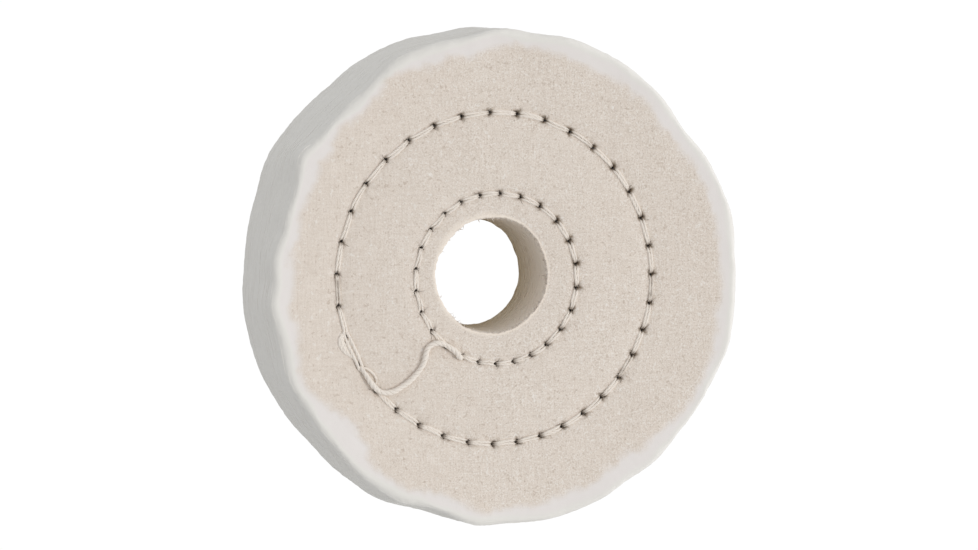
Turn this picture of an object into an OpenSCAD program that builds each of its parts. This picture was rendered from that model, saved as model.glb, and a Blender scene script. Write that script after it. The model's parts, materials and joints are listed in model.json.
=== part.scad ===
// Sewn cotton polishing wheel: a stack of round cloth plies, held together by two
// rings of chain stitching and one thread that crosses from ring to ring.
// Millimetres. The spin axis is Y, the origin is the middle of the bore, and the
// front face, which shows the chain side of the stitching, looks along -Y.

/* [Wheel] */
// Diameter the cloth plies are cut to
wheel_d = 76.2; // [72:0.1:82]
// Arbor hole
bore_d = 19.05; // [16:0.05:21]
// How far the cut outline is off the centre of the arbor hole, towards +X
outline_off = 2.0; // [0:0.1:3]
// Thickness of the stack where the arbor flanges clamp it
stack_t = 12.7; // [11:0.1:15]
// How far the stack springs apart on each side at its rim
rim_splay = 1.3; // [0:0.1:2]
// How much shorter the two face plies are, where the rim has worn round
rim_round = 1.4; // [0:0.1:3]
// How much smaller the front outline is than the back one, where the rim has worn to a lean
front_wear = 0.6; // [0:0.05:1.5]

/* [Cloth] */
// Number of plies
ply_count = 40; // [36:1:50]
// Share of the ply pitch that is cloth; the rest is air between plies
cloth_fill = 0.95; // [0.8:0.01:0.97]

/* [Stitching] */
// Radius of the outer ring of stitches
outer_row_r = 26.45; // [24:0.05:28]
// Stitches in the outer ring
outer_row_stitches = 36; // [30:1:40]
// Radius of the inner ring of stitches
inner_row_r = 13.6; // [13.2:0.05:15]
// Stitches in the inner ring
inner_row_stitches = 25; // [20:1:28]
// Diameter of the sewing thread
thread_d = 0.46; // [0.4:0.01:0.47]
// Diameter of the doubled thread that crosses from ring to ring
crossing_d = 0.8; // [0.7:0.05:0.9]
// Depth that the stitches pull the faces in
pinch = 0.5; // [0.5:0.05:0.8]

/* [Hidden] */
$fn = 48;

// Angle of the first stitch of each ring, counted from +X towards +Z
outer_row_start = 220.5;
inner_row_start = 244.2;
// How far, in degrees, the hand-fed stitches run behind even spacing part way round: two
// amounts that come and go once in a ring, and two that do so twice
outer_row_lag = [4.5, 0, 1.1, -0.9];
inner_row_lag = [-0.8, 4.4, 2.2, 0.4];

// Centre of both rings of stitches, in the plane of the wheel
rows_centre = [0.95, -0.6];

// How far the front outline has moved against the back one, from the lean of the rim
front_shift = [0.8, -0.6];

half_t = stack_t / 2;
wheel_r = wheel_d / 2;
bore_r = bore_d / 2;

// Needle hole, and the two strands pulled tight in it
hole_d = 1.0;
leg_d = 0.35;
leg_off = 0.19;

// The trench that a row of stitches pulls into the faces: flat floor, sloping sides
floor_half_w = 0.6;
slope_w = 0.6;
seat_h = half_t - pinch;
rest_gap = 0.02;
strand_z = seat_h + rest_gap + thread_d / 2;

// A loop of the chain on the front: the strands' distance from the line through the
// needle holes, where they come down onto the face, and how far short of the next
// needle hole they start to bend in, turn, and meet in the tip
link_half_w = 0.24;
loop_start = 0.3;
loop_bend = 0.9;
loop_turn = 0.68;
loop_tip = 0.6;
turn_half_w = 0.18;

// Strand on the back: how far its ends are from the needle holes, and off their line
back_start = 0.35;
back_off = 0.12;

// How far inside the seat the straight part of each leg ends
leg_inset = 0.2;

// The rim: radius where the stack starts to spring apart, how sharply the ends of the
// plies round off, and a radius that is clear of every ply
splay_from_r = 29.5;
round_power = 8;
clear_r = wheel_r + 4;
clear_splay = rim_splay * (clear_r - splay_from_r) / (wheel_r - splay_from_r);

// Route of the crossing thread on the front face: [x, z] in the wheel's plane
cross_route = [
    [-20.2, -16.6], [-19.4, -17.5], [-18.5, -18.1], [-17.4, -18.2], [-16.3, -18.0],
    [-15.2, -17.4], [-14.1, -16.7], [-13.1, -15.8], [-12.2, -14.8], [-11.5, -13.6],
    [-11.2, -12.4], [-10.8, -11.4], [-10.0, -10.8], [-9.0, -10.6], [-8.0, -10.9],
    [-7.0, -11.5], [-6.1, -12.2], [-5.5, -13.0]
];
cross_lift = 0.03;

// A thread is drawn as a tube with this many sides, the first one facing this way
tube_sides = 8;
first_side = [0.3, 0.5, 0.8];

function two_digits(n) = n < 10 ? str("0", n) : str(n);
function inner_ply_name(k) = str("inner_ply_", two_digits(k));

// Half thickness of the stack at each radius where its slope changes
stack_profile = [
    [bore_r, half_t],
    [inner_row_r - floor_half_w - slope_w, half_t],
    [inner_row_r - floor_half_w, seat_h],
    [inner_row_r + floor_half_w, seat_h],
    [inner_row_r + floor_half_w + slope_w, half_t],
    [outer_row_r - floor_half_w - slope_w, half_t],
    [outer_row_r - floor_half_w, seat_h],
    [outer_row_r + floor_half_w, seat_h],
    [outer_row_r + floor_half_w + slope_w, half_t],
    [splay_from_r, half_t]
];

// How near ply k is to the front: 1 at the front face and 0 at the back
function nearness(k) = (ply_count - k) / (ply_count - 1);

// Radius of ply k: the plies near both faces are shorter, so that the rim is round, and
// the worn rim leans in towards the front
function ply_r(k) =
    let (off_middle = abs(2 * nearness(k) - 1))
    wheel_r - rim_round * pow(off_middle, round_power) - front_wear * nearness(k);

// Pitch of the plies, and the top and bottom of ply k, as shares of the half thickness
ply_pitch = 2 / (ply_count - 1 + cloth_fill);
function ply_top(k) = 1 - (k - 1) * ply_pitch;
function ply_bottom(k) = ply_top(k) - cloth_fill * ply_pitch;

// Angle of stitch i of a row: even steps, less the lag of the feed
function stitch_angle(i, count, start, lag) =
    let (
        even = i * 360 / count,
        once = lag[0] * (1 - cos(even)) + lag[1] * sin(even),
        twice = lag[2] * (1 - cos(2 * even)) + lag[3] * sin(2 * even)
    )
    start + even - once - twice;

// One ply, with the wheel's axis on Z and the front face up
module flat_ply(k) {
    outline = concat([[0, half_t]], stack_profile, [[clear_r, half_t + clear_splay]]);
    top = [for (p = outline) [p[0], p[1] * ply_top(k)]];
    bottom = [for (i = [len(outline) - 1:-1:0]) [outline[i][0], outline[i][1] * ply_bottom(k)]];
    outline_centre = [outline_off, 0] + front_shift * nearness(k);
    difference() {
        intersection() {
            translate(rows_centre) rotate_extrude($fn = 180) polygon(concat(top, bottom));
            translate([outline_centre[0], outline_centre[1], -stack_t])
                cylinder(h = 2 * stack_t, r = ply_r(k), $fn = 180);
        }
        translate([0, 0, -stack_t]) cylinder(h = 2 * stack_t, r = bore_r, $fn = 120);
        translate(rows_centre) {
            needle_holes(outer_row_r, outer_row_stitches, outer_row_start, outer_row_lag);
            needle_holes(inner_row_r, inner_row_stitches, inner_row_start, inner_row_lag);
        }
    }
}

module needle_holes(row_r, count, start, lag) {
    for (i = [0:count - 1])
        rotate([0, 0, stitch_angle(i, count, start, lag)])
            translate([row_r, 0, -stack_t])
                cylinder(h = 2 * stack_t, d = hole_d, $fn = 24);
}

// Route of the thread through one stitch: [along the row, across it, height, radius].
// It rises through the needle hole, lays a loop on the front towards the next hole,
// goes back down the same hole, and runs behind the stack to the next hole.
leg_r = leg_d / 2;
thread_r = thread_d / 2;
crossing_r = crossing_d / 2;
leg_end = seat_h - leg_inset;
function stitch_route(chord) = [
    [0, leg_off, -leg_end, leg_r],
    [0, leg_off, leg_end, leg_r],
    [loop_start, link_half_w, strand_z, thread_r],
    [chord - loop_bend, link_half_w, strand_z, thread_r],
    [chord - loop_turn, turn_half_w, strand_z, thread_r],
    [chord - loop_tip, 0, strand_z, thread_r],
    [chord - loop_turn, -turn_half_w, strand_z, thread_r],
    [chord - loop_bend, -link_half_w, strand_z, thread_r],
    [loop_start, -link_half_w, strand_z, thread_r],
    [0, -leg_off, leg_end, leg_r],
    [0, -leg_off, -leg_end, leg_r],
    [back_start, -back_off, -strand_z, thread_r],
    [chord - back_start, back_off, -strand_z, thread_r]
];

// The same route set out along the whole ring
function row_route(row_r, count, start, lag) =
    [for (i = [0:count - 1])
        let (
            a = stitch_angle(i, count, start, lag),
            half_step = (stitch_angle(i + 1, count, start, lag) - a) / 2,
            out = a + half_step,
            ahead = out + 90
        )
        for (p = stitch_route(2 * row_r * sin(half_step))) [
            row_r * cos(a) + p[0] * cos(ahead) + p[1] * cos(out),
            row_r * sin(a) + p[0] * sin(ahead) + p[1] * sin(out),
            p[2], p[3]
        ]];

// Route of the crossing thread, which lies on the front face from ring to ring
function crossing_route() =
    [for (p = cross_route) [p[0], p[1], half_t + cross_lift + crossing_r, crossing_r]];

function unit(v) = v / norm(v);
function place(p) = [p[0], p[1], p[2]];

// Heading of a route at its point i
function heading(route, i) =
    let (
        n = len(route) - 1,
        here = place(route[i]),
        before = i > 0 ? unit(here - place(route[i - 1])) : [0, 0, 0],
        after = i < n ? unit(place(route[i + 1]) - here) : [0, 0, 0]
    )
    unit(before + after);

// Part of v square to the heading h, at length 1
function square_to(v, h) = unit(v - (v * h) * h);

// Direction across the tube at each point, carried along the route without twisting
function across_all(route) =
    [for (
        i = 0, v = square_to(first_side, heading(route, 0));
        i < len(route);
        i = i + 1, v = i < len(route) ? square_to(v, heading(route, i)) : v
    ) v];

// Points of the ring of a tube at point i of a route, square to the route
function ring_at(route, i, across) =
    let (up = cross(heading(route, i), across))
    [for (s = [0:tube_sides - 1])
        let (a = s * 360 / tube_sides)
        place(route[i]) + route[i][3] * (cos(a) * across + sin(a) * up)];

// A thread swept along a route as one closed tube
module tube(route) {
    rings = len(route);
    across = across_all(route);
    points = [for (i = [0:rings - 1]) each ring_at(route, i, across[i])];
    sides = [for (i = [0:rings - 2], s = [0:tube_sides - 1])
        let (a = i * tube_sides + s, b = i * tube_sides + (s + 1) % tube_sides)
        each [[a, a + tube_sides, b + tube_sides], [a, b + tube_sides, b]]];
    first_end = [[for (s = [0:tube_sides - 1]) s]];
    last_end = [[for (s = [tube_sides - 1:-1:0]) (rings - 1) * tube_sides + s]];
    polyhedron(points, concat(first_end, sides, last_end), convexity = 10);
}

// Turns the wheel from lying on its back, front face up, to standing with its axis on Y
module upright() {
    rotate([90, 0, 0]) children();
}

module ply(k) {
    color(k == 1 || k == ply_count ? "linen" : "antiquewhite") upright() flat_ply(k);
}
module outer_row_stitching() {
    color("wheat") upright() translate(rows_centre)
        tube(row_route(outer_row_r, outer_row_stitches, outer_row_start, outer_row_lag));
}
module inner_row_stitching() {
    color("wheat") upright() translate(rows_centre)
        tube(row_route(inner_row_r, inner_row_stitches, inner_row_start, inner_row_lag));
}
module crossing_thread() {
    color("wheat") upright() tube(crossing_route());
}

ply(1);  // front_face_ply
for (k = [2:ply_count - 1])
    ply(k);
ply(ply_count);  // back_face_ply
outer_row_stitching();
inner_row_stitching();
crossing_thread();
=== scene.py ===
"""The looks of a sewn cotton polishing wheel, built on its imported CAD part.

Shapes are worked out in millimetres and become metres when a mesh is made. A point in
the stack of plies is given by its place (x, z) in the wheel's plane and by its share u
of the half thickness: 1 at the front face, which looks along -Y, and -1 at the back.
Every ply is laid out through the same smooth function of x, z and u, so the plies keep
their order. By the faces, where one mesh is finer than the next, neighbours still cross
by up to a tenth of a millimetre, and the thread is sunk into the face by a little more.
"""

import json
import math

import bpy
import numpy as np
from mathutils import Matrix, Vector


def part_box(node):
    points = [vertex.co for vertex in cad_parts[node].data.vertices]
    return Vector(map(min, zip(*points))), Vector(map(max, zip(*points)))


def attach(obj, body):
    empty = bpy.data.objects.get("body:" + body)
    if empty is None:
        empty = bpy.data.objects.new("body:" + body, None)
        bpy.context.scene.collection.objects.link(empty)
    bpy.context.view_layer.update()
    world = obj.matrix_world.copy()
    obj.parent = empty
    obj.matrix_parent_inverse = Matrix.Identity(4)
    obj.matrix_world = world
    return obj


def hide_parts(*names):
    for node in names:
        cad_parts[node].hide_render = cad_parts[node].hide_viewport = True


MM = 0.001
TAU = 2 * math.pi

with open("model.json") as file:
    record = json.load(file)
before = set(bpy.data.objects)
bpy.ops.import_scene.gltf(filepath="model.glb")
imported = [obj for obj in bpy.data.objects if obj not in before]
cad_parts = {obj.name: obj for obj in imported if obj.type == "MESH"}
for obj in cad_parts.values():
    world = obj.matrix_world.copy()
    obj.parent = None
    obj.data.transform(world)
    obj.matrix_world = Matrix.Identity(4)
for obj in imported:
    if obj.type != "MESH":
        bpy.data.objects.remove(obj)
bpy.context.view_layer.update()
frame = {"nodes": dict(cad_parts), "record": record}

# ---------------------------------------------------------------- the part's own sizes

mounts = {m["name"]: m for m in frame["record"]["mounts"]}
BORE_R = mounts["arbor_hole"]["dims"]["r_mm"]
HALF_T = mounts["arbor_hole"]["dims"]["length_mm"] / 2
PLY_NAMES = [n for n in sorted(frame["nodes"]) if n.startswith("inner_ply_")]
PLY_NAMES = ["front_face_ply", *PLY_NAMES, "back_face_ply"]
PLY_COUNT = len(PLY_NAMES)

middle_low, middle_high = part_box(PLY_NAMES[PLY_COUNT // 2])
CUT_R = (middle_high[0] - middle_low[0]) / 2 / MM
CUT_X = (middle_high[0] + middle_low[0]) / 2 / MM
CUT_Z = (middle_high[2] + middle_low[2]) / 2 / MM

# as in part.scad: wear and shift of the front outline against the back one
FRONT_WEAR = 0.6
FRONT_SHIFT = (0.8, -0.6)

# as in part.scad: ring centre, radius, stitches, angle of the first, lag of the feed
ROWS_CENTRE = np.array([0.95, -0.6])
OUTER_ROW = (26.45, 36, 220.5, (4.5, 0.0, 1.1, -0.9))
INNER_ROW = (13.6, 25, 244.2, (-0.8, 4.4, 2.2, 0.4))
# as in part.scad: (x, z) along the thread that crosses between the rings
CROSSING = [
    (-20.2, -16.6), (-19.4, -17.5), (-18.5, -18.1), (-17.4, -18.2), (-16.3, -18.0),
    (-15.2, -17.4), (-14.1, -16.7), (-13.1, -15.8), (-12.2, -14.8), (-11.5, -13.6),
    (-11.2, -12.4), (-10.8, -11.4), (-10.0, -10.8), (-9.0, -10.6), (-8.0, -10.9),
    (-7.0, -11.5), (-6.1, -12.2), (-5.5, -13.0),
]

# ---------------------------------------------------------------- settings of the looks, in mm

# share of its place in the stack that a ply fills, in the flat part and at the rim
PLY_FILL = 0.95
RIM_FILL = 0.997
PLY_PITCH = 2 / (PLY_COUNT - 1 + PLY_FILL)
# radii from which the plies spring apart, and from which a ply's mesh is rim
SPRING_R = 26
RIM_START = 35.0
# how far each face stands out further at the rim
SPLAY = 1.2
# how far the fluff stands out past the cut, and about where its corners are
FLUFF_OUT = 1.6
CORNER_R = 39
# radii between which a ply's centre moves from the arbor hole's to the outline's
CENTRE_SHIFT = (15, 34)
# how deep the rows of stitches are pulled in on each side, and how wide that trench is
TRENCH = 0.12
TRENCH_WIDTH = 1.05
# needle holes: their radius, and how far round them the cloth is pushed aside
HOLE_R = 0.5
HOLE_REACH = 1.7
# thread inside a needle hole
LEG_R = 0.13

# bumps of the trimmed edge, set against the photo and corrected from measured
# differences: (angle in degrees, how far out in mm, half width in degrees)
TRIM = [
    (16, 0.5, 9), (38, -0.85, 7), (54, 0.35, 7), (80, -0.3, 7), (92, 0.35, 8),
    (112, 0.4, 8), (150, 0.4, 10), (176, -0.4, 9), (191, 0.3, 6), (222, -0.2, 9),
    (243, 0.9, 6), (261, 0.45, 6), (300, -0.3, 6), (318, -0.35, 13), (348, 0.4, 8),
]
# how much further in the front corner is than the lean of the rim, in the same terms
FRONT_TRIM = [
    (76, -0.8, 14), (117, -0.6, 6), (142, 0.75, 26), (150, -0.9, 4), (159, 0.6, 5), (168, 0.5, 3),
    (176, -0.5, 4), (186, -0.7, 4), (192, 0.35, 22), (204, -0.4, 5), (250, 1.0, 11),
]
# how much further the fluff reaches over the face, in the same terms
FLUFF_REACH = [
    (66, 0.9, 8), (82, -0.8, 8), (122, -1.0, 8), (136, -1.4, 8), (152, 0.5, 8), (163, -1.4, 5),
    (182, 0.2, 6), (204, -0.8, 6), (222, 1.7, 8), (240, -0.6, 7), (258, 0.4, 6), (266, -0.9, 6),
    (284, 0.8, 6), (302, 0.9, 8), (330, -0.4, 8),
]
# how far cloth reaches into the arbor hole, in the same terms
BORE_FRAY = [
    (95, 0.35, 22), (140, 0.45, 24), (215, 0.28, 20), (262, 0.2, 18), (20, 0.12, 20),
    (310, 0.15, 20),
]

rng = np.random.default_rng(384)

# ---------------------------------------------------------------- noise

LATTICE = 64
lattice = rng.uniform(-1, 1, (LATTICE, LATTICE, LATTICE))


def noise(x, y, z, size, seed=0):
    """Smooth noise from -1 to 1 at points in mm, with features about size mm across."""
    p = [np.asarray(c) / size + 17.3 * (seed + 1) * k for c, k in ((x, 1), (y, 1.7), (z, 2.3))]
    low = [np.floor(c).astype(int) for c in p]
    f = [c - i for c, i in zip(p, low)]
    f = [c * c * (3 - 2 * c) for c in f]
    total = 0
    for a in (0, 1):
        for b in (0, 1):
            for c in (0, 1):
                weight = 1
                for axis, corner in enumerate((a, b, c)):
                    weight = weight * (f[axis] if corner else 1 - f[axis])
                cell = [(low[k] + corner) % LATTICE for k, corner in enumerate((a, b, c))]
                total = total + weight * lattice[cell[0], cell[1], cell[2]]
    return total


def smooth(t, low, high):
    """A soft step from 0 at low to 1 at high."""
    t = np.clip((t - low) / (high - low), 0, 1)
    return t * t * (3 - 2 * t)


# ---------------------------------------------------------------- stitches and stack


def stitch_angles(row):
    """Angles in radians of a row's needle holes, and of the end of its last stitch."""
    _, count, start, lag = row
    even = np.arange(count + 1) * TAU / count
    once = lag[0] * (1 - np.cos(even)) + lag[1] * np.sin(even)
    twice = lag[2] * (1 - np.cos(2 * even)) + lag[3] * np.sin(2 * even)
    return np.radians(start - once - twice) + even


def hole_places(row):
    """Needle holes of a row, and the directions from each to the next."""
    a = stitch_angles(row)
    places = ROWS_CENTRE + row[0] * np.stack([np.cos(a), np.sin(a)], 1)
    ahead = np.diff(places, axis=0)
    return places[:-1], ahead / np.linalg.norm(ahead, axis=1)[:, None]


both_rows = hole_places(OUTER_ROW), hole_places(INNER_ROW)
HOLES = np.concatenate([places for places, _ in both_rows])
HOLE_AHEAD = np.concatenate([ahead for _, ahead in both_rows])


def row_pull(row, middle, swing):
    """How hard the thread bites at each needle hole of a row: most a little above +X."""
    return middle + swing * np.cos(stitch_angles(row)[:-1] - math.radians(15))


HOLE_PULL = np.concatenate([row_pull(OUTER_ROW, 0.88, 0.17), row_pull(INNER_ROW, 0.62, 0.42)])
# strength at each needle hole of its brown stain and painted shade
HOLE_STAIN_AND_SHADE = np.minimum(HOLE_PULL, 1)
HOLE_DEPTH = HOLE_PULL * rng.uniform(0.65, 1.3, len(HOLES))
HOLE_TURN = rng.uniform(0, TAU, len(HOLES))


def by_hole(x, z, reach):
    """For each needle hole: which points are near it, their distance, and along and across."""
    for k, ((hx, hz), (tx, tz)) in enumerate(zip(HOLES, HOLE_AHEAD)):
        near = np.flatnonzero((np.abs(x - hx) < reach) & (np.abs(z - hz) < reach))
        dx, dz = x[near] - hx, z[near] - hz
        yield k, near, np.hypot(dx, dz), dx * tx + dz * tz, dx * tz - dz * tx


def tails(k, along, across):
    """Creases in the cloth beside the strands, on each side of needle hole k: 0 to 1."""
    wide = 0.50 + 0.08 * math.sin(HOLE_TURN[k])
    sides = np.exp(-(((np.abs(across) - wide) / 0.20) ** 2))
    far_ahead = 1.5 + 0.4 * math.sin(3 * HOLE_TURN[k])
    far_behind = 1.0 + 0.3 * math.sin(5 * HOLE_TURN[k])
    ahead = smooth(along, -0.3, 0.3) * (1 - smooth(along, 0.8, far_ahead))
    behind = smooth(-along, -0.3, 0.3) * (1 - smooth(-along, 0.5, far_behind))
    return sides * np.maximum(ahead, 0.7 * behind)


def row_distance(x, z, row):
    """How far outside a row of stitches the points are."""
    return np.hypot(x - ROWS_CENTRE[0], z - ROWS_CENTRE[1]) - row[0]


def face_relief(x, z, side):
    """How far the face stands out where the stitches pull on it, in mm."""
    h = 0.10 * noise(x, side * 40, z, 8, 1) + 0.05 * noise(x, side * 40, z, 3.1, 2)
    h = h + 0.02 * noise(x, side * 40, z, 1.1, 3)
    # the cloth sags a little towards the bore
    h = h - 0.35 * np.exp(-(((np.hypot(x, z) - BORE_R) / 3.0) ** 2))
    for row in (OUTER_ROW, INNER_ROW):
        d = row_distance(x, z, row)
        h = h - 0.10 * np.exp(-((d / 2.0) ** 2))
    for k, near, d, along, across in by_hole(x, z, 4):
        dip = -0.50 * HOLE_DEPTH[k] * np.exp(-((d / 0.52) ** 2))
        star = np.cos(5 * np.arctan2(across, along) + HOLE_TURN[k])
        star = star * np.exp(-(((d - 1.2) / 0.7) ** 2))
        h[near] += dip + 0.04 * star - 0.07 * HOLE_DEPTH[k] * tails(k, along, across)
    return h


def stack_height(x, z, u):
    """Height above the middle of the stack, towards the front, of share u at x, z."""
    shift = smooth(np.hypot(x, z), *CENTRE_SHIFT)
    r = np.hypot(x - CUT_X * shift, z - CUT_Z * shift)
    spread = np.clip((r - SPRING_R) / (CUT_R - SPRING_R), 0, 1.2) ** 1.2
    t = HALF_T + SPLAY * spread + 0.15 * noise(x, 9, z, 11, 5) * smooth(r, 27, 36)
    for row in (OUTER_ROW, INNER_ROW):
        d = row_distance(x, z, row)
        t = t - TRENCH * np.exp(-((d / TRENCH_WIDTH) ** 2))
    depth = np.clip((abs(u) - 0.3) / 0.7, 0, 1) ** 1.5
    if depth == 0:
        return u * t
    return u * t + math.copysign(depth, u) * face_relief(x, z, math.copysign(1, u))


def bumps(angle, rows):
    """Sum of rounded bumps, one for each (angle in degrees, height, half width in degrees)."""
    total = 0
    for middle, height, half_width in rows:
        off = np.degrees(np.angle(np.exp(1j * (angle - math.radians(middle)))))
        total = total + height * np.exp(-((off / half_width) ** 2))
    return total


def cut_radius(angle):
    """Radius of the trimmed wheel about its own centre, gently out of round."""
    trim = -0.25 * np.sin(angle) + 0.10 * np.cos(13 * angle + 4.0) + 0.07 * np.cos(23 * angle + 1.0)
    return CUT_R + FLUFF_OUT + trim + bumps(angle, TRIM)


def corner_size(angle, side):
    """(radial, axial) size of the worn, fluffed corner between a face and the rim."""
    x, z = CORNER_R * np.cos(angle), CORNER_R * np.sin(angle)
    ragged = 0.45 * noise(x, side * 20, z, 5.0, 7) + 0.30 * noise(x, side * 20, z, 2.2, 8)
    return 1.0 + ragged, 1.3 + 0.4 * noise(x, side * 20, z, 6.0, 9)


def rim_radius(angle, u):
    """Radius of the wheel at share u, from the worn corners round to the rim."""
    side = math.copysign(1, u)
    radial, axial = corner_size(angle, side)
    half = HALF_T + SPLAY
    inside = half * (1 - abs(u))
    over = np.clip(1 - inside / axial, 0, 1)
    lean = FRONT_WEAR - FRONT_SHIFT[0] * np.cos(angle) - FRONT_SHIFT[1] * np.sin(angle)
    inset = radial * (1 - np.sqrt(1 - over**2)) + lean * u / 2
    inset = inset + bumps(angle, FRONT_TRIM) * smooth(u, -0.6, 1.0)
    return cut_radius(angle) - inset


# ---------------------------------------------------------------- meshes


def make_object(name, points, faces, attributes=None, creases=None):
    """A mesh object from points in mm, (x, y, z), and lists of quads and triangles.

    An edge is sharp where creases has the same number, over 0, at both of its ends.
    """
    used = np.zeros(len(points), bool)
    for f in faces:
        used[f.ravel()] = True
    index = np.cumsum(used) - 1
    points = points[used]
    faces = [index[f] for f in faces if len(f)]
    mesh = bpy.data.meshes.new(name)
    mesh.vertices.add(len(points))
    mesh.vertices.foreach_set("co", (points * MM).astype(np.float32).ravel())
    loops = np.concatenate([f.ravel() for f in faces])
    sizes = np.concatenate([np.full(len(f), f.shape[1]) for f in faces])
    mesh.loops.add(len(loops))
    mesh.loops.foreach_set("vertex_index", loops.astype(np.int32))
    mesh.polygons.add(len(sizes))
    mesh.polygons.foreach_set("loop_start", (np.cumsum(sizes) - sizes).astype(np.int32))
    mesh.update(calc_edges=True)
    mesh.polygons.foreach_set("use_smooth", np.ones(len(sizes), bool))
    if creases is not None:
        ends = np.empty(2 * len(mesh.edges), np.int32)
        mesh.edges.foreach_get("vertices", ends)
        a, b = creases[used][ends.reshape(-1, 2)].T
        sharp = mesh.attributes.new("sharp_edge", "BOOLEAN", "EDGE")
        sharp.data.foreach_set("value", (a == b) & (a > 0))
    for key, values in (attributes or {}).items():
        a = mesh.attributes.new(key, "FLOAT", "POINT")
        a.data.foreach_set("value", values[used].astype(np.float32))
    piece = bpy.data.objects.new(name, mesh)
    bpy.context.scene.collection.objects.link(piece)
    return piece


def bridge(a, b):
    """Faces between rings a and b of vertex numbers: one may have m times the other's."""
    if len(a) == len(b):
        return [np.stack([a, b, np.roll(b, -1), np.roll(a, -1)], 1)]
    fine, coarse = (a, b) if len(a) > len(b) else (b, a)
    m = len(fine) // len(coarse)
    j = np.arange(len(fine))
    split = (j % m) < (m + 1) // 2
    near = np.where(split, coarse[j // m], np.roll(coarse, -1)[j // m])
    fans = np.stack([near, fine, np.roll(fine, -1)], 1)
    c = np.arange(len(coarse))
    joins = np.stack([coarse, fine[c * m + (m + 1) // 2], np.roll(coarse, -1)], 1)
    faces = np.concatenate([fans, joins])
    if fine is a:
        faces = faces[:, ::-1]
    return [faces]


# ---------------------------------------------------------------- plies

# rings of a ply's mesh by the bore: how far past its edge they are, and how much of its
# unevenness they take on
BORE_STEPS = (0.0, 0.15, 0.45, 0.9)
BORE_GIVE = (1.0, 0.85, 0.5, 0.2)
# radii where the even rings start and where the outer row's take over, and how near a
# row the finer rings reach
RINGS_FROM = 10.9
ROWS_MEET = 19.0
NEAR_ROW = 1.6
# points round the rim
RIM_POINTS = 1440


def ring_radii(fine):
    """[(radius, points)] of a ply's rings from the bore to where its rim begins."""
    step, near_step, inner_n, outer_n = (0.6, 0.2, 360, 720) if fine else (1.0, 0.8, 240, 240)
    rings = [(BORE_R + d, inner_n) for d in BORE_STEPS]
    bands = (INNER_ROW, RINGS_FROM, ROWS_MEET, inner_n), (OUTER_ROW, ROWS_MEET, RIM_START, outer_n)
    for row, low, high, n in bands:
        stops = [low, row[0] - NEAR_ROW, row[0] + NEAR_ROW, high]
        for a, b, gap in zip(stops, stops[1:], (step, near_step, step)):
            count = max(1, round((b - a) / gap))
            rings += [(r, n) for r in np.linspace(a, b, count, endpoint=False)]
    return rings


def face_rings(k, radii, mid_u):
    """x and z of ply k's rings: the bore's cut edge is uneven, and narrower to the back."""
    flat = []
    for r, n in radii:
        angle = np.arange(n) * TAU / n
        shift = smooth(np.asarray(r), *CENTRE_SHIFT)
        flat.append((r * np.cos(angle) + CUT_X * shift, r * np.sin(angle) + CUT_Z * shift))
    ragged = 0.13 if k == 0 else 0.05
    for i, give in enumerate(BORE_GIVE):
        x, z = flat[i]
        pull = 0.08 + 0.62 * ((1 - mid_u) / 2) ** 2 + bumps(np.arctan2(z, x), BORE_FRAY)
        pull = pull + 0.10 * noise(x, 2.9 * k, z, 1.5, 30) + ragged * noise(x, 2.9 * k, z, 0.45, 31)
        r = np.hypot(x, z)
        scale = (r - give * pull) / r
        flat[i] = (x * scale, z * scale)
    return np.concatenate([x for x, _ in flat]), np.concatenate([z for _, z in flat])


def open_needle_holes(x, z, sizes, reach):
    """Open the rings at each needle hole: new x and z, and (ring, point, loop) of each."""
    starts = np.concatenate([[0], np.cumsum(sizes)])
    ring_of = np.repeat(np.arange(len(sizes)), sizes)
    openings = []
    for hx, hz in HOLES:
        # the nearest point moves onto the hole, then those round it move outwards
        nearest = int(np.argmin((x - hx) ** 2 + (z - hz) ** 2))
        dx, dz = hx - x[nearest], hz - z[nearest]
        near = np.exp(-((x - hx) ** 2 + (z - hz) ** 2) / reach**2)
        x, z = x + dx * near, z + dz * near
        d = np.maximum(np.hypot(x - hx, z - hz), 1e-6)
        wider = np.where(d < HOLE_REACH, HOLE_R + d * (1 - HOLE_R / HOLE_REACH), d) / d
        wider[nearest] = 1
        x, z = hx + (x - hx) * wider, hz + (z - hz) * wider
        i = ring_of[nearest]
        j, n = nearest - starts[i], sizes[i]
        loop = [(i - 1, j - 1), (i, j - 1), (i + 1, j - 1), (i + 1, j),
                (i + 1, j + 1), (i, j + 1), (i - 1, j + 1), (i - 1, j)]
        loop = np.array([starts[a] + b % n for a, b in loop])
        away = np.stack([x[loop] - hx, z[loop] - hz], 1)
        away *= HOLE_R / np.linalg.norm(away, axis=1)[:, None]
        x[loop], z[loop] = hx + away[:, 0], hz + away[:, 1]
        openings.append((i, j, loop))
    return x, z, openings


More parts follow.
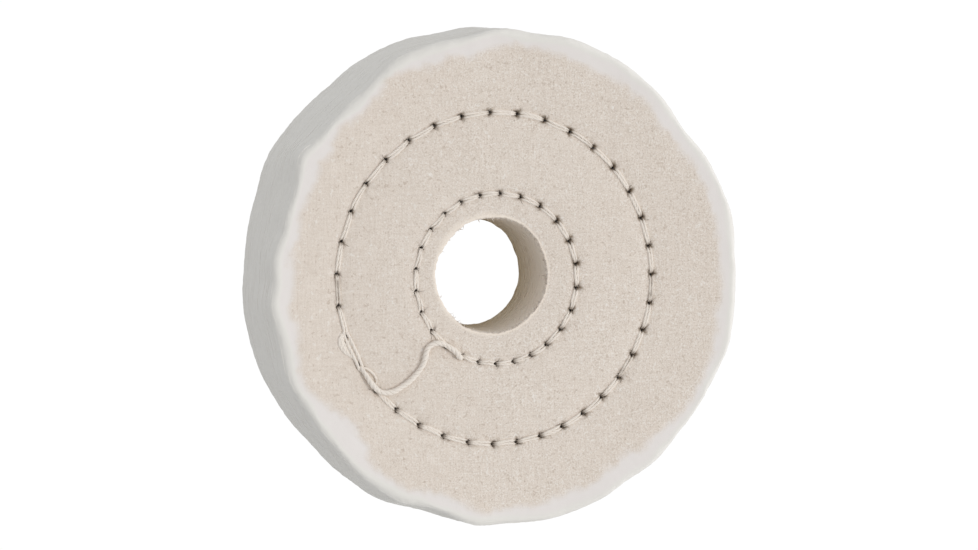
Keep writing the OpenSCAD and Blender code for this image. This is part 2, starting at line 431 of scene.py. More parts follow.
def ply_rim(k, fine, u_top, u_bottom):
    """Rings of ply k's rim: out along its top, over the fluffed edge, back underneath.

    Gives x, z, height and share of the way out of each point, and the numbers of the
    first and last ring of the edge itself.
    """
    local = np.random.default_rng(1000 + k)
    phase = local.uniform(0, TAU, 8)
    slack = local.normal(0, 0.012)
    angle = np.arange(RIM_POINTS) * TAU / RIM_POINTS

    def ring(share, u, out):
        r = rim_radius(angle, u)
        x, z = r * np.cos(angle), r * np.sin(angle)
        wavy = 0.01 * np.cos(9 * angle + phase[0]) + 0.01 * np.cos(23 * angle + phase[1])
        r = r + out + slack + wavy + 0.03 * noise(x, 3.7 * k, z, 2.4, 20)
        r = RIM_START + (r - RIM_START) * share
        return r * np.cos(angle) + CUT_X, r * np.sin(angle) + CUT_Z, u, share

    is_last = k == PLY_COUNT - 1
    u_closed = u_bottom if is_last else u_top - RIM_FILL * PLY_PITCH
    many, few = (0.16, 0.32, 0.48, 0.64, 0.80, 0.93), (0.4, 0.8)
    top_shares = many if k == 0 else few
    bottom_shares = many if is_last else few
    steps = 8 if fine else 3
    rings = [ring(share, u_top, 0) for share in top_shares]
    for q in range(steps + 1):
        # closer together towards the face that is nearer
        t = (q / steps) ** 1.6 if u_top + u_bottom >= 0 else 1 - (1 - q / steps) ** 1.6
        bulge = 0.012 * math.sin(math.pi * q / steps)
        rings.append(ring(1.0, u_top + (u_closed - u_top) * t, bulge))
    rings += [ring(share, u_bottom, 0) for share in bottom_shares[::-1]]

    x = np.concatenate([r[0] for r in rings])
    z = np.concatenate([r[1] for r in rings])
    h = np.concatenate([stack_height(*r[:3]) for r in rings])
    share = np.concatenate([np.full(RIM_POINTS, r[3]) for r in rings])
    # cottony unevenness of the raw edge
    lump = 0.08 * noise(x, h, z, 3.4, 42) + 0.05 * noise(x, h, z, 0.9, 40)
    lump = lump + 0.03 * noise(x, h, z, 0.4, 41)
    push = 1 + lump * smooth(share, 0.5, 1.0) / np.hypot(x - CUT_X, z - CUT_Z)
    x, z = (x - CUT_X) * push + CUT_X, (z - CUT_Z) * push + CUT_Z
    return x, z, h, share, len(top_shares), len(top_shares) + steps


def ply_faces(top, bottom, rims, openings):
    """Faces between a ply's rings of point numbers, left open at the needle holes."""
    faces = []
    for rings, flipped in ((top, False), (bottom, True)):
        for i in range(len(rings) - 1):
            for f in bridge(rings[i], rings[i + 1]):
                if f.shape[1] == 4:
                    keep = np.ones(len(f), bool)
                    for hole_ring, j, _ in openings:
                        if hole_ring - 1 <= i <= hole_ring:
                            keep[[(j - 1) % len(rings[i]), j]] = False
                    f = f[keep]
                faces.append(f[:, ::-1] if flipped else f)
    over_edge = [top[-1], *rims, bottom[-1]]
    for a, b in zip(over_edge, over_edge[1:]):
        faces += bridge(a, b)
    faces += bridge(bottom[0], top[0])
    below = bottom[0][0] - top[0][0]
    for _, _, loop in openings:
        ahead = np.roll(loop, -1)
        faces.append(np.stack([loop, ahead, ahead + below, loop + below], 1))
    quads = [f for f in faces if f.shape[1] == 4]
    tris = [f for f in faces if f.shape[1] == 3]
    return [np.concatenate(group) for group in (quads, tris) if group]


def needle_stain_and_shade(x, z):
    """Dark marks in and round the needle holes, 0 to 1: a brown stain with painted shade in the
    pits, and painted shadow in the creases beside the strands.
    """
    stain_and_shade = np.zeros(len(x))
    for h, near, d, along, across in by_hole(x, z, 3):
        way = np.arctan2(across, along)
        star = 0.6 * np.cos(3 * way + HOLE_TURN[h]) + 0.4 * np.cos(5 * way - 2 * HOLE_TURN[h])
        size = 0.55 + 0.6 * HOLE_PULL[h]
        pit = np.exp(-((d / (size * (0.36 + 0.22 * HOLE_DEPTH[h] + 0.30 * star))) ** 6))
        # the pits get stain with painted shade, the creases beside the strands painted shadow
        marks = np.maximum(pit, 0.30 * tails(h, along, across))
        stain_and_shade[near] = np.maximum(stain_and_shade[near], HOLE_STAIN_AND_SHADE[h] * marks)
    return stain_and_shade


def ply_attributes(x, z, h, share, mid_u, fine):
    """What the cloth's material reads at each point of a ply."""
    around = np.arctan2(z - CUT_Z, x - CUT_X)
    inside = rim_radius(around, mid_u) - np.hypot(x - CUT_X, z - CUT_Z)
    ragged = 0.5 * noise(x, 5, z, 5.5, 50) + 0.5 * noise(x, 5, z, 2.2, 51)
    ragged = ragged + 0.4 * noise(x, 5, z, 0.9, 52) + bumps(around, FLUFF_REACH)
    cut = 1 - smooth(np.hypot(x, z), BORE_R + 0.05, BORE_R + 0.4)
    return {
        "rim": smooth(share, 0.85, 1.0),
        "fluff": 1 - smooth(inside, 1.6 + ragged, 3.1 + ragged),
        "near_hole": needle_stain_and_shade(x, z) if fine else np.zeros(len(x)),
        "bore": cut * np.clip((1 - h / HALF_T) / 2, 0, 1) ** 1.3,
        "cut": cut,
    }


def ply(k, name):
    """Ply k, counted from 0 at the front, as a closed sheet with its bore and needle holes."""
    fine = k in (0, PLY_COUNT - 1)
    u_top = 1 - k * PLY_PITCH
    u_bottom = u_top - PLY_FILL * PLY_PITCH
    mid_u = (u_top + u_bottom) / 2
    radii = ring_radii(fine)
    sizes = [n for _, n in radii]
    x, z = face_rings(k, radii, mid_u)
    x, z, openings = open_needle_holes(x, z, sizes, 0.9 if fine else 1.6)
    rim_x, rim_z, rim_h, rim_share, first, last = ply_rim(k, fine, u_top, u_bottom)

    all_x = np.concatenate([x, x, rim_x])
    all_z = np.concatenate([z, z, rim_z])
    all_h = np.concatenate([stack_height(x, z, u_top), stack_height(x, z, u_bottom), rim_h])
    share = np.concatenate([np.zeros(2 * len(x)), rim_share])
    top = np.split(np.arange(len(x)), np.cumsum(sizes)[:-1])
    bottom = [ring + len(x) for ring in top]
    rims = list(np.arange(len(rim_x)).reshape(-1, RIM_POINTS) + 2 * len(x))

    # the rim meets the plies beside this one in an edge; the outer faces stay rounded
    creases = np.zeros(len(all_x), int)
    if k > 0:
        creases[rims[first]] = 1
    if k < PLY_COUNT - 1:
        creases[rims[last]] = 2
    points = np.stack([all_x, -all_h, all_z], 1)
    faces = ply_faces(top, bottom, rims, openings)
    attributes = ply_attributes(all_x, all_z, all_h, share, mid_u, fine)
    return make_object(name, points, faces, attributes, creases)


# ---------------------------------------------------------------- materials

CLOTH_DARK, CLOTH_LIGHT = (0.69, 0.605, 0.525, 1), (0.895, 0.825, 0.755, 1)
SLUB_TINT, CLOUD_TINT = (0.93, 0.90, 0.86, 1), (0.96, 0.92, 0.90, 1)
SPECK_DARK, SPECK_LIGHT = (0.62, 0.54, 0.47, 1), (0.93, 0.90, 0.86, 1)
DUST_DARK, DUST_LIGHT = (0.66, 0.61, 0.56, 1), (0.97, 0.95, 0.92, 1)
# colours in and round the needle holes, and of thread inside them: a brown stain with painted shade
HOLE_STAIN_AND_SHADE_COLOUR, THREAD_STAIN_AND_SHADE_COLOUR = (0.24, 0.18, 0.11, 1), (0.24, 0.18, 0.12, 1)
CUT_EDGE, BORE_SHADE = (0.98, 0.885, 0.78, 1), (0.55, 0.49, 0.36, 1)
FLEECE_FACE, FLEECE_RIM = (0.84, 0.797, 0.775, 1), (0.835, 0.812, 0.772, 1)
FLEECE_SHADE = (0.93, 0.93, 0.91, 1)
# the darker thread tone also stands for painted shade in the grooves between the strands
THREAD_DARK, THREAD_LIGHT = (0.58, 0.49, 0.41, 1), (0.88, 0.81, 0.735, 1)
FLOOR_DARK, FLOOR_LIGHT = (0.78, 0.78, 0.78, 1), (0.82, 0.82, 0.82, 1)

# distance between the threads of the weave, and how far they stray, in metres
WEAVE_PITCH = 0.00044
WEAVE_STRAY = 0.00016


class Shader:
    """A new node material, with short ways to add nodes to it."""

    def __init__(self, name, settings):
        self.material = bpy.data.materials.new(name)
        self.material.use_nodes = True
        self.nodes, self.links = self.material.node_tree.nodes, self.material.node_tree.links
        self.principled = self.nodes["Principled BSDF"]
        for socket, value in settings.items():
            self.principled.inputs[socket].default_value = value

    def put(self, value, socket):
        """Link another node's output to a socket, or set the socket to a plain value."""
        if hasattr(value, "is_linked"):
            self.links.new(value, socket)
        else:
            socket.default_value = value

    def node(self, kind, **values):
        """A new node, with the sockets and settings of the given names."""
        n = self.nodes.new(kind)
        for key, value in values.items():
            if key in n.inputs:
                self.put(value, n.inputs[key])
            else:
                setattr(n, key, value)
        return n

    def calc(self, operation, a, b=None):
        n = self.node("ShaderNodeMath", operation=operation)
        self.put(a, n.inputs[0])
        if b is not None:
            self.put(b, n.inputs[1])
        return n.outputs[0]

    def mix(self, blend, factor, a, b):
        n = self.node("ShaderNodeMix", data_type="RGBA", blend_type=blend)
        for socket, value in zip((n.inputs[0], n.inputs[6], n.inputs[7]), (factor, a, b)):
            self.put(value, socket)
        return n.outputs[2]

    def noise(self, scale, detail, roughness=0.5, vector=None, output="Fac"):
        n = self.node("ShaderNodeTexNoise", Scale=scale, Detail=detail, Roughness=roughness)
        if vector is not None:
            self.put(vector, n.inputs["Vector"])
        return n.outputs[output]

    def ramp(self, factor, low, dark, high, light):
        n = self.node("ShaderNodeValToRGB", Fac=factor)
        for element, place, colour in zip(n.color_ramp.elements, (low, high), (dark, light)):
            element.position, element.color = place, colour
        return n.outputs["Color"]

    def attribute(self, name):
        return self.node("ShaderNodeAttribute", attribute_name=name).outputs["Fac"]

    def finish(self, colour, height, strength, distance):
        """The material, with this base colour and this height as its bump."""
        self.put(colour, self.principled.inputs["Base Color"])
        bump = self.node("ShaderNodeBump", Strength=strength, Distance=distance, Height=height)
        self.put(bump.outputs[0], self.principled.inputs["Normal"])
        return self.material


def plain_weave(s, part):
    """Height of round threads each way, over and under in turn."""
    turn = math.pi / WEAVE_PITCH
    sx = s.calc("SINE", s.calc("MULTIPLY", part.outputs["X"], turn))
    sz = s.calc("SINE", s.calc("MULTIPLY", part.outputs["Z"], turn))
    checker = s.calc("MULTIPLY", sx, sz)
    rounds = s.calc("ADD", s.calc("ABSOLUTE", sx), s.calc("ABSOLUTE", sz))
    return s.calc("ADD", s.calc("MULTIPLY", checker, 0.5), s.calc("MULTIPLY", rounds, 0.5))


def uneven_threads(s, place):
    """Thick and thin stretches of the threads that run along X and along Z, added."""
    both = []
    for stretch in ((2300.0, 1.0, 330.0), (330.0, 1.0, 2300.0)):
        long_way = s.node("ShaderNodeVectorMath", operation="MULTIPLY")
        s.put(place, long_way.inputs[0])
        s.put(stretch, long_way.inputs[1])
        both.append(s.noise(1.0, 2.0, 0.55, long_way.outputs[0]))
    return s.calc("ADD", *both)


def flecks(s, coord, tint, part):
    """The cloth's colour with specks and dust, rougher where handled, towards +X."""
    lint = s.noise(1500.0, 1.0, vector=coord)
    dust = s.noise(4600.0, 0.0, vector=coord)
    handled = s.node("ShaderNodeMapRange", Value=part.outputs["X"])
    for key, value in (("From Min", -0.03), ("From Max", 0.0), ("To Min", 0.12), ("To Max", 0.34)):
        s.put(value, handled.inputs[key])
    rough = handled.outputs["Result"]
    for kind, source, test, limit, share, colour in (
        ("MULTIPLY", lint, "GREATER_THAN", 0.69, 0.35, SPECK_DARK),
        ("MIX", lint, "LESS_THAN", 0.315, 0.35, SPECK_LIGHT),
        ("MULTIPLY", dust, "GREATER_THAN", 0.65, rough, DUST_DARK),
        ("MIX", dust, "LESS_THAN", 0.35, rough, DUST_LIGHT),
    ):
        here = s.calc(test, source, limit)
        tint = s.mix(kind, s.calc("MULTIPLY", here, share), tint, colour)
    return tint


def cloth_material():
    s = Shader("woven_cotton", {
        "Roughness": 0.92, "Specular IOR Level": 0.2, "Sheen Weight": 0.25, "Sheen Roughness": 0.6,
    })
    coord = s.node("ShaderNodeTexCoord").outputs["Object"]
    wobble = s.noise(900.0, 2.0, vector=coord, output="Color")
    stray = s.node("ShaderNodeVectorMath", operation="SCALE", Scale=WEAVE_STRAY)
    s.put(wobble, stray.inputs[0])
    moved = s.node("ShaderNodeVectorMath", operation="ADD")
    s.put(coord, moved.inputs[0])
    s.put(stray.outputs[0], moved.inputs[1])
    part = s.node("ShaderNodeSeparateXYZ", Vector=moved.outputs[0])

    weave = plain_weave(s, part)
    threads = uneven_threads(s, moved.outputs[0])
    fine = s.noise(5200.0, 4.0, 0.75, coord)
    slub = s.noise(420.0, 3.0, 0.6, coord)
    cloud = s.noise(90.0, 3.0, vector=coord)
    fluff, rim = s.attribute("fluff"), s.attribute("rim")

    grain = s.calc("ADD", s.calc("MULTIPLY", weave, 0.03), s.calc("MULTIPLY", threads, 0.36))
    grain = s.calc("ADD", grain, s.calc("MULTIPLY", fine, 0.62))
    tint = s.ramp(grain, 0.45, CLOTH_DARK, 1.0, CLOTH_LIGHT)
    tint = s.mix("MULTIPLY", s.calc("MULTIPLY", slub, 0.25), tint, SLUB_TINT)
    tint = s.mix("MULTIPLY", s.calc("MULTIPLY", cloud, 0.30), tint, CLOUD_TINT)
    tint = flecks(s, coord, tint, part)
    # needle holes: a brown stain, with painted shade in the pits and painted shadow in the creases
    # beside the strands
    tint = s.mix("MULTIPLY", s.attribute("near_hole"), tint, HOLE_STAIN_AND_SHADE_COLOUR)
    tint = s.mix("MIX", s.calc("MULTIPLY", s.attribute("cut"), 0.75), tint, CUT_EDGE)
    tint = s.mix("MULTIPLY", s.attribute("bore"), tint, BORE_SHADE)
    fleece = s.mix("MIX", rim, FLEECE_FACE, FLEECE_RIM)
    fleece = s.mix("MULTIPLY", s.calc("MULTIPLY", slub, 0.4), fleece, FLEECE_SHADE)

    # the fluff hides the weave and softens the rest
    woven = s.calc("MULTIPLY", weave, s.calc("SUBTRACT", 1.0, fluff))
    grainy = s.calc("MULTIPLY", fine, s.calc("SUBTRACT", 0.9, s.calc("MULTIPLY", fluff, 0.65)))
    slubs = s.calc("MULTIPLY", threads, s.calc("SUBTRACT", 0.6, s.calc("MULTIPLY", fluff, 0.5)))
    height = s.calc("ADD", s.calc("MULTIPLY", woven, 0.16), s.calc("ADD", slubs, grainy))
    return s.finish(s.mix("MIX", fluff, tint, fleece), height, 0.6, 0.00008)


def thread_material():
    cotton = {"Roughness": 0.85, "Specular IOR Level": 0.25, "Sheen Weight": 0.3}
    s = Shader("cotton_thread", cotton)
    coord = s.node("ShaderNodeTexCoord").outputs["Object"]
    fibre = s.noise(5000.0, 4.0, vector=coord)
    # darker in the grooves between the twisted strands: painted shade; the fibre noise is the
    # thread's own tone
    colour = s.ramp(s.calc("ADD", fibre, s.attribute("lobe")), 0.45, THREAD_DARK, 0.9, THREAD_LIGHT)
    # thread inside the needle holes: a brown stain with painted shade
    colour = s.mix("MULTIPLY", s.attribute("in_hole"), colour, THREAD_STAIN_AND_SHADE_COLOUR)
    return s.finish(colour, fibre, 0.6, 0.00005)


def floor_material():
    s = Shader("pale_floor", {"Roughness": 0.9})
    colour = s.ramp(s.noise(30.0, 2.0), 0.0, FLOOR_DARK, 1.0, FLOOR_LIGHT)
    s.put(colour, s.principled.inputs["Base Color"])
    return s.material


cloth = cloth_material()
thread = thread_material()

# ---------------------------------------------------------------- the plies

for k, ply_name in enumerate(PLY_NAMES):
    piece = ply(k, ply_name.replace("ply", "cloth"))
    piece.data.materials.append(cloth)
    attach(piece, "root")
    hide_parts(ply_name)

# ---------------------------------------------------------------- pulled fibres

FIBRE_STEPS = 5
FIBRE_SIDES = 3


def fibre_mesh(name, roots, headings, lengths, radii, stain_and_shade):
    """Thin fibres that taper and bend at random, from roots along headings, as one mesh."""
    local = np.random.default_rng(97)
    n = len(roots)
    headings = headings / np.linalg.norm(headings, axis=1)[:, None]
    bend = local.normal(0, 1, (n, 3))
    bend -= np.sum(bend * headings, axis=1)[:, None] * headings
    t = np.linspace(0, 1, FIBRE_STEPS)[None, :, None]
    shape = headings[:, None] * t + 0.3 * bend[:, None] * t**2
    path = roots[:, None] + shape * lengths[:, None, None]
    across = bend / np.linalg.norm(bend, axis=1)[:, None]
    up = np.cross(headings, across)
    a = np.arange(FIBRE_SIDES) * TAU / FIBRE_SIDES
    ring = across[:, None] * np.cos(a)[None, :, None] + up[:, None] * np.sin(a)[None, :, None]
    thick = radii[:, None, None, None] * (1 - 0.7 * t[..., None])
    points = (path[:, :, None] + ring[:, None] * thick).reshape(-1, 3)
    first = np.arange(n) * FIBRE_STEPS * FIBRE_SIDES
    quads = []
    for i in range(FIBRE_STEPS - 1):
        for j in range(FIBRE_SIDES):
            a, b = i * FIBRE_SIDES + j, i * FIBRE_SIDES + (j + 1) % FIBRE_SIDES
            quads.append(first[:, None] + np.array([a, b, b + FIBRE_SIDES, a + FIBRE_SIDES]))
    tip = (FIBRE_STEPS - 1) * FIBRE_SIDES
    caps = [first[:, None] + np.array(c) for c in ([2, 1, 0], [tip, tip + 1, tip + 2])]
    attributes = {"near_hole": np.repeat(stain_and_shade, FIBRE_STEPS * FIBRE_SIDES)}
    return make_object(name, points, [np.concatenate(quads), np.concatenate(caps)], attributes)


def hole_fibres(per_hole, seed):
    """Roots, headings, lengths, radii, and the stain with painted shade, of the fibres round each
    needle hole.
    """
    local = np.random.default_rng(seed)
    n = per_hole * len(HOLES)
    centre = np.repeat(HOLES, per_hole, axis=0)
    way = local.uniform(0, TAU, n)
    r = local.uniform(0.25, 0.6, n)
    x, z = centre[:, 0] + r * np.cos(way), centre[:, 1] + r * np.sin(way)
    roots = np.stack([x, -(stack_height(x, z, 1) + 0.02), z], 1)
    lean = way + local.normal(0, 0.7, n)
    headings = np.stack([np.cos(lean), -local.uniform(0.05, 0.45, n), np.sin(lean)], 1)
    # half the fibres take on their needle hole's brown stain and painted shade
    stain_and_shade = local.choice([0.0, 0.9], n) * np.repeat(HOLE_STAIN_AND_SHADE, per_hole)
    return roots, headings, local.uniform(0.4, 1.1, n), local.uniform(0.045, 0.085, n), stain_and_shade


def bore_fibres(n, seed):
    """The same for the cut ends of yarn round the front edge of the bore."""
    local = np.random.default_rng(seed)
    angle = local.normal(0, 1.1, n)
    outward = np.stack([np.cos(angle), np.zeros(n), np.sin(angle)], 1)
    round_way = np.stack([-np.sin(angle), np.zeros(n), np.cos(angle)], 1)
    r = BORE_R - 0.08 - bumps(angle, BORE_FRAY)
    deep = local.exponential(0.4, n) - 0.1
    roots = outward * r[:, None] + np.array([0, 1, 0]) * (deep - HALF_T)[:, None]
    headings = np.array([0, -0.5, 0]) - outward * 0.6 + round_way * local.normal(0, 0.8, n)[:, None]
    return roots, headings, local.uniform(0.25, 0.65, n), local.uniform(0.05, 0.11, n), np.zeros(n)


fibre_sets = zip(hole_fibres(8, 5), bore_fibres(260, 7))
piece = fibre_mesh("pulled_fibres", *(np.concatenate(part) for part in fibre_sets))
piece.data.materials.append(cloth)
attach(piece, "root")

# ---------------------------------------------------------------- threads

TUBE_SIDES = 15
STRANDS = 3
TWIST_LENGTH = 2.6


def spline(controls, spacing):
    """Points along a smooth curve through controls (x, y, z, r), spacing(y) mm apart."""
    c = np.array(controls, float)
    c = np.concatenate([[2 * c[0] - c[1]], c, [2 * c[-1] - c[-2]]])
    out = []
    for i in range(1, len(c) - 2):
        p0, p1, p2, p3 = c[i - 1:i + 3]
        length = np.linalg.norm(p2[:3] - p1[:3])
        n = max(2, int(math.ceil(length / spacing((p1[1] + p2[1]) / 2))))
        spans = ((p0, p1), (p1, p2), (p2, p3))
        k = [max(np.linalg.norm(b[:3] - a[:3]), 1e-4) ** 0.5 for a, b in spans]
        t0, t1, t2, t3 = 0, k[0], k[0] + k[1], k[0] + k[1] + k[2]
        t = (t1 + (t2 - t1) * np.arange(n) / n)[:, None]
        a1 = (t1 - t) / (t1 - t0) * p0 + (t - t0) / (t1 - t0) * p1
        a2 = (t2 - t) / (t2 - t1) * p1 + (t - t1) / (t2 - t1) * p2
        a3 = (t3 - t) / (t3 - t2) * p2 + (t - t2) / (t3 - t2) * p3
        b1 = (t2 - t) / (t2 - t0) * a1 + (t - t0) / (t2 - t0) * a2
        b2 = (t3 - t) / (t3 - t1) * a2 + (t - t1) / (t3 - t1) * a3
        out.append((t2 - t) / (t2 - t1) * b1 + (t - t1) / (t2 - t1) * b2)
    out.append(c[-2:-1])
    return np.concatenate(out)


def thread_mesh(name, runs):
    """One mesh of twisted thread along each run of points (x, y, z, r)."""
    all_points, all_faces, tone, depth, base = [], [], [], [], 0
    for run in runs:
        p, r = run[:, :3], run[:, 3]
        heading = np.gradient(p, axis=0)
        heading /= np.linalg.norm(heading, axis=1)[:, None]
        across = np.zeros_like(p)
        v = np.cross(heading[0], (0.3, 0.5, 0.8))
        for i, h in enumerate(heading):
            v = v - np.dot(v, h) * h
            v = v / np.linalg.norm(v)
            across[i] = v
        up = np.cross(heading, across)
        along = np.concatenate([[0], np.cumsum(np.linalg.norm(np.diff(p, axis=0), axis=1))])
        a = np.arange(TUBE_SIDES) * TAU / TUBE_SIDES
        lobe = np.abs(np.sin(STRANDS / 2 * (a[None] - along[:, None] * TAU / TWIST_LENGTH)))
        size = r[:, None] * (0.80 + 0.26 * lobe)
        ring = across[:, None] * np.cos(a)[None, :, None] + up[:, None] * np.sin(a)[None, :, None]
        points = p[:, None] + ring * size[:, :, None]
        n, m = len(p), TUBE_SIDES
        i, j = np.meshgrid(np.arange(n - 1), np.arange(m), indexing="ij")
        i, j = i.ravel(), j.ravel()
        k = (j + 1) % m
        quads = np.stack([i * m + j, i * m + k, (i + 1) * m + k, (i + 1) * m + j], 1)
        ends = np.array([p[0] - heading[0] * r[0] * 0.4, p[-1] + heading[-1] * r[-1] * 0.4])
        j = np.arange(m)
        k = (j + 1) % m
        caps = np.concatenate([
            np.stack([np.full(m, n * m), k, j], 1),
            np.stack([np.full(m, n * m + 1), (n - 1) * m + j, (n - 1) * m + k], 1),
        ])
        all_points += [points.reshape(-1, 3), ends]
        all_faces.append((quads + base, caps + base))
        # the lobes also darken the thread's colour in the grooves between strands: painted shade
        tone += [lobe.ravel(), np.zeros(2)]
        # thread deep in a needle hole is darkened: a brown stain with painted shade
        away = (p[:, 0, None] - HOLES[:, 0]) ** 2 + (p[:, 2, None] - HOLES[:, 1]) ** 2
        in_hole = (1 - smooth(r, 0.135, 0.185)) * HOLE_STAIN_AND_SHADE[np.argmin(away, axis=1)]
        depth += [np.repeat(in_hole, m), np.zeros(2)]
        base += n * m + 2
    points = np.concatenate(all_points)
    quads = np.concatenate([f[0] for f in all_faces])
    caps = np.concatenate([f[1] for f in all_faces])
    attributes = {"lobe": np.concatenate(tone), "in_hole": np.concatenate(depth)}
    return make_object(name, points, [quads, caps], attributes)


def surface(x, z, side):
    """Height of the cloth above the middle of the stack at one place, front or back."""
    return side * float(stack_height(np.array([x]), np.array([z]), side)[0])


def leg_spacing(y):
    """Distance between the points of a thread: close by the faces, wide in the stack."""
    return 0.17 if abs(y) > 4.9 else 1.6


def row_run(row, seed, links):
    """The thread of one row, as it goes up, loops on the front, down, and along the back."""
    local = np.random.default_rng(seed)
    radius, count, _, _ = row
    angle = stitch_angles(row)
    holes = ROWS_CENTRE + radius * np.stack([np.cos(angle), np.sin(angle)], 1)
    controls = []
    for i in range(count):
        chord = np.linalg.norm(holes[i + 1] - holes[i])
        t = (holes[i + 1] - holes[i]) / chord
        n = np.array([t[1], -t[0]])
        roll, shift, fat = local.normal(0, 0.05), local.normal(0, 0.07), local.normal(1, 0.09)
        wide_out, wide_in = links.get(i, (0, 0))
        mouth = surface(*holes[i], 1)
        under = surface(*holes[i], -1)

        def at(along, across, height, r, side=1):
            x, z = holes[i] + t * along + n * across
            h = side * (surface(x, z, side) + height)
            return (x, -h, z, r)

        def leg(along, across, height, r):
            x, z = holes[i] + t * along + n * across
            return (x, -height, z, r)

        # one side of a loop: along, across, height over the cloth, radius, and how much
        # of the loop's own roll, shift and width it takes on
        half = [
            (0.58, 0.14, 0.16, 0.17, 0.1),
            (1.15, 0.175, 0.12, 0.195 * fat, 0.6),
            (chord * 0.5, 0.20, 0.10, 0.21 * fat, 1.0),
            (chord - 1.2, 0.215, 0.09, 0.20 * fat, 0.8),
            (chord - 0.62, 0.25, 0.04, 0.17, 0.0),
            (chord - 0.15, 0.37, -0.20, 0.13, 0.0),
            (chord + 0.25, 0.32, -0.50, 0.12, 0.0),
        ]
        controls += [leg(0.12, 0.14, -under + 0.9, LEG_R), leg(0.12, 0.14, mouth - 1.0, LEG_R),
                     leg(0.16, 0.14, mouth + 0.05, 0.15)]
        controls += [at(a, b + w * wide_out + shift * w, h + roll * w, r) for a, b, h, r, w in half]
        controls += [at(chord + 0.40, 0.0, -0.58, 0.12)]
        controls += [
            at(a, -b - w * wide_in + shift * w, h - roll * w, r) for a, b, h, r, w in half[::-1]
        ]
        controls += [leg(0.16, -0.14, mouth + 0.05, 0.15), leg(0.12, -0.14, mouth - 1.0, LEG_R),
                     leg(0.12, -0.14, -under + 0.9, LEG_R)]
        sway = local.normal(0, 0.10)
        controls += [at(0.38, -0.16, 0.02, 0.19, -1), at(1.0, -0.10 + sway * 0.5, 0.17, 0.23, -1),
                     at(chord * 0.5, sway, 0.19, 0.24, -1),
                     at(chord - 0.9, 0.1 + sway * 0.5, 0.17, 0.23, -1),
                     at(chord - 0.22, 0.16, 0.02, 0.19, -1)]
    return spline(controls, leg_spacing)


def row_point(row, degrees, out):
    """The place at an angle of a row, this far outside it."""
    a = math.radians(degrees)
    return ROWS_CENTRE + (row[0] + out) * np.array([math.cos(a), math.sin(a)])


def lying_run(places, spacing=0.17):
    """A thread through places (x, z, height over the cloth, r), on the front."""
    controls = [(x, -(surface(x, z, 1) + h), z, r) for x, z, h, r in places]
    return spline(controls, lambda y: spacing)


def crossing_run():
    """The thicker thread from the outer row's last needle hole to the inner row's first."""
    last, first = stitch_angles(OUTER_ROW)[-2], stitch_angles(INNER_ROW)[0]
    start = ROWS_CENTRE + OUTER_ROW[0] * np.array([math.cos(last), math.sin(last)])
    end = ROWS_CENTRE + INNER_ROW[0] * np.array([math.cos(first), math.sin(first)])
    begin = np.array(CROSSING[0])
    ahead = (begin - start) / np.linalg.norm(begin - start)
    face = HALF_T + 0.02
    controls = []
    for back, height in ((0.1, -1.6), (0.25, -0.4), (0.8, 0.30)):
        x, z = start + ahead * back
        controls.append((x, -(face + height), z, 0.30))
    for k, (x, z) in enumerate(CROSSING):
        over_row = 0.34 * math.exp(-((row_distance(x, z, OUTER_ROW) / 1.3) ** 2))
        over_row += 0.22 * math.exp(-((row_distance(x, z, INNER_ROW) / 0.9) ** 2))
        r = 0.44 + 0.025 * math.sin(2.1 * k) + 0.015 * math.sin(5.3 * k)
        top = max(surface(x, z, 1), HALF_T - 0.12)
        controls.append((x, -(top + over_row + r * 0.9), z, r))
    x, z = end + np.array([-0.05, -0.05])
    controls += [(x - 0.05, -(face - 0.25), z - 0.1, 0.32), (x, -(face - 1.8), z, 0.28)]
    return spline(controls, lambda y: 0.16)


def overlap_runs():
    """The doubled strands where the outer row ends over its beginning, and a slack loop."""
    strands = []
    for side in (1, -1):
        places = [(*row_point(OUTER_ROW, 197.0, 0.15 * side), -1.0, 0.20),
                  (*row_point(OUTER_ROW, 197.6, 0.25 * side), 0.10, 0.24),
                  (*row_point(OUTER_ROW, 199.6, 0.34 * side - 0.1), 0.26, 0.24),
                  (*row_point(OUTER_ROW, 202.6, 0.38 * side - 0.1), 0.32, 0.26),
                  (*row_point(OUTER_ROW, 206.0, 0.36 * side - 0.15), 0.32, 0.26),
                  (*row_point(OUTER_ROW, 209.0, 0.32 * side - 0.1), 0.28, 0.25),
                  (*row_point(OUTER_ROW, 211.0, 0.34 * side), 0.18, 0.22),
                  (*row_point(OUTER_ROW, 212.1, 0.20 * side), -0.2, 0.21),
                  (*row_point(OUTER_ROW, 212.2, 0.18 * side), -1.2, 0.20)]
        strands.append(lying_run(places))
    slack = []
    for out, height, r in ((0.80, 0.06, 0.26), (1.15, 0.12, 0.28), (1.50, 0.04, 0.25)):
        slack.append(lying_run([
            (*row_point(OUTER_ROW, 197.4, 0.25), -0.4, 0.16),
            (*row_point(OUTER_ROW, 198.2, 0.55 * out), 0.06, r),
            (*row_point(OUTER_ROW, 199.6, 0.95 * out), height, r),
            (*row_point(OUTER_ROW, 201.6, out), height, r),
            (*row_point(OUTER_ROW, 203.8, 0.8 * out), height, r),
            (*row_point(OUTER_ROW, 205.8, 0.5), 0.08, r),
            (*row_point(OUTER_ROW, 207.0, 0.25), 0.02, 0.16),
        ]))
    return strands, slack


# the last loop of the outer row bulges: how much further out and in its two sides are
OPEN_LOOP = {OUTER_ROW[1] - 1: (0.05, 0.75)}
doubled, slack_loop = overlap_runs()
for name, runs, node_name in (
    ("outer_row_thread", [row_run(OUTER_ROW, 11, OPEN_LOOP)], "outer_row_stitching"),
    ("inner_row_thread", [row_run(INNER_ROW, 12, {})], "inner_row_stitching"),
    ("crossing_strand", [crossing_run()], "crossing_thread"),
    ("doubled_strands", doubled, None),
    ("slack_loop", slack_loop, None),
):
    piece = thread_mesh(name, runs)
    piece.data.materials.append(thread)
    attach(piece, "root")
    if node_name:
        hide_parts(node_name)

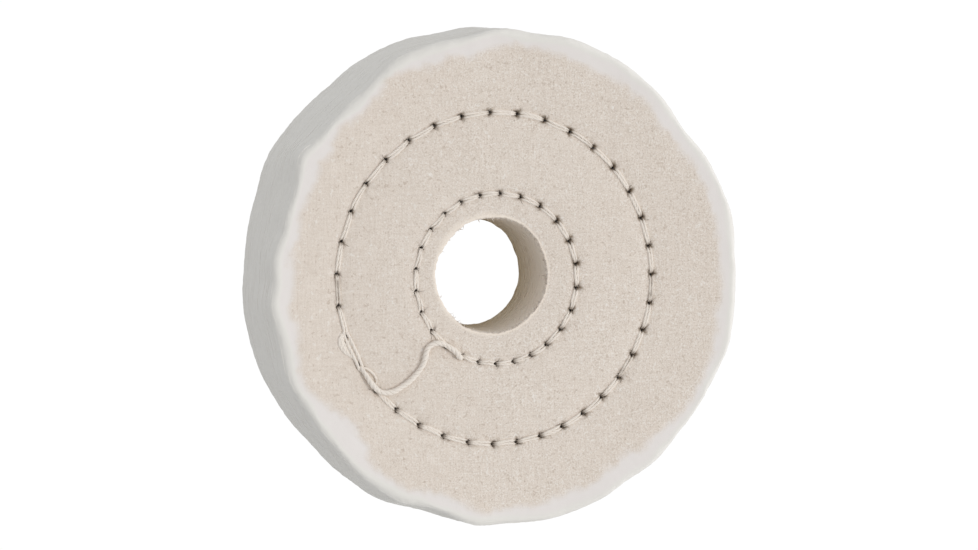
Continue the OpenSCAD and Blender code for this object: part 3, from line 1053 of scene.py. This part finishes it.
# ---------------------------------------------------------------- floor, light, camera


def area_light(name, place, aim, size, power, colour=(1, 1, 1)):
    """A round lamp at a place in metres, turned towards aim."""
    data = bpy.data.lights.new(name, "AREA")
    data.shape = "DISK"
    data.size, data.energy, data.color = size, power, colour
    lamp = bpy.data.objects.new(name, data)
    lamp.location = place
    lamp.rotation_mode = "QUATERNION"
    lamp.rotation_quaternion = (Vector(aim) - Vector(place)).to_track_quat("-Z", "Y")
    bpy.context.scene.collection.objects.link(lamp)


def add_floor():
    """The plain floor, well below the wheel."""
    side, drop = 0.45, 0.4
    mesh = bpy.data.meshes.new("floor")
    corners = [(-side, -side), (side, -side), (side, side), (-side, side)]
    mesh.from_pydata([(x, y, -drop) for x, y in corners], [], [(0, 1, 2, 3)])
    floor = bpy.data.objects.new("floor", mesh)
    bpy.context.scene.collection.objects.link(floor)
    floor.data.materials.append(floor_material())


def add_world():
    """A white background for the camera, and softer, slightly cool light on the wheel."""
    world = bpy.data.worlds.new("studio")
    bpy.context.scene.world = world
    world.use_nodes = True
    nodes, links = world.node_tree.nodes, world.node_tree.links
    out = nodes["World Output"]
    seen, lit = nodes["Background"], nodes.new("ShaderNodeBackground")
    seen.inputs["Color"].default_value = (1, 1, 1, 1)
    seen.inputs["Strength"].default_value = 1.02
    lit.inputs["Color"].default_value = (0.97, 0.98, 0.99, 1)
    # much less light from below
    way = nodes.new("ShaderNodeSeparateXYZ")
    links.new(nodes.new("ShaderNodeTexCoord").outputs["Generated"], way.inputs[0])
    below = nodes.new("ShaderNodeMapRange")
    below.inputs["From Min"].default_value, below.inputs["From Max"].default_value = -1.0, 0.0
    below.inputs["To Min"].default_value, below.inputs["To Max"].default_value = 0.08, 0.70
    links.new(way.outputs["Z"], below.inputs["Value"])
    links.new(below.outputs["Result"], lit.inputs["Strength"])
    path, switch = nodes.new("ShaderNodeLightPath"), nodes.new("ShaderNodeMixShader")
    links.new(path.outputs["Is Camera Ray"], switch.inputs[0])
    links.new(lit.outputs[0], switch.inputs[1])
    links.new(seen.outputs[0], switch.inputs[2])
    links.new(switch.outputs[0], out.inputs["Surface"])


def add_camera():
    """The photo's view: from the left of the front face, a little above it."""
    azimuth, elevation, distance = math.radians(-18.5), math.radians(3.0), 0.42
    back = Vector((math.sin(azimuth) * math.cos(elevation),
                   -math.cos(azimuth) * math.cos(elevation), math.sin(elevation)))
    right = Vector((math.cos(azimuth), math.sin(azimuth), 0))
    aim = Vector((0, -HALF_T * MM, 0)) - right * 0.0005
    data = bpy.data.cameras.new("camera")
    data.lens, data.sensor_width = 97.2, 36.0
    data.clip_start, data.clip_end = 0.01, 20.0
    camera = bpy.data.objects.new("camera", data)
    camera.location = aim + back * distance
    camera.rotation_mode = "QUATERNION"
    camera.rotation_quaternion = (-back).to_track_quat("-Z", "Y")
    bpy.context.scene.collection.objects.link(camera)
    bpy.context.scene.camera = camera


add_floor()
add_world()
add_camera()
area_light("key", (0.68, -1.05, -0.10), (0, 0, 0), 0.45, 5.2, (1.0, 0.985, 0.96))
area_light("edge", (0.9, -0.02, 0.1), (0, 0, 0), 0.35, 1.9, (0.96, 0.98, 1.0))
bpy.context.scene.view_settings.view_transform = "Standard"
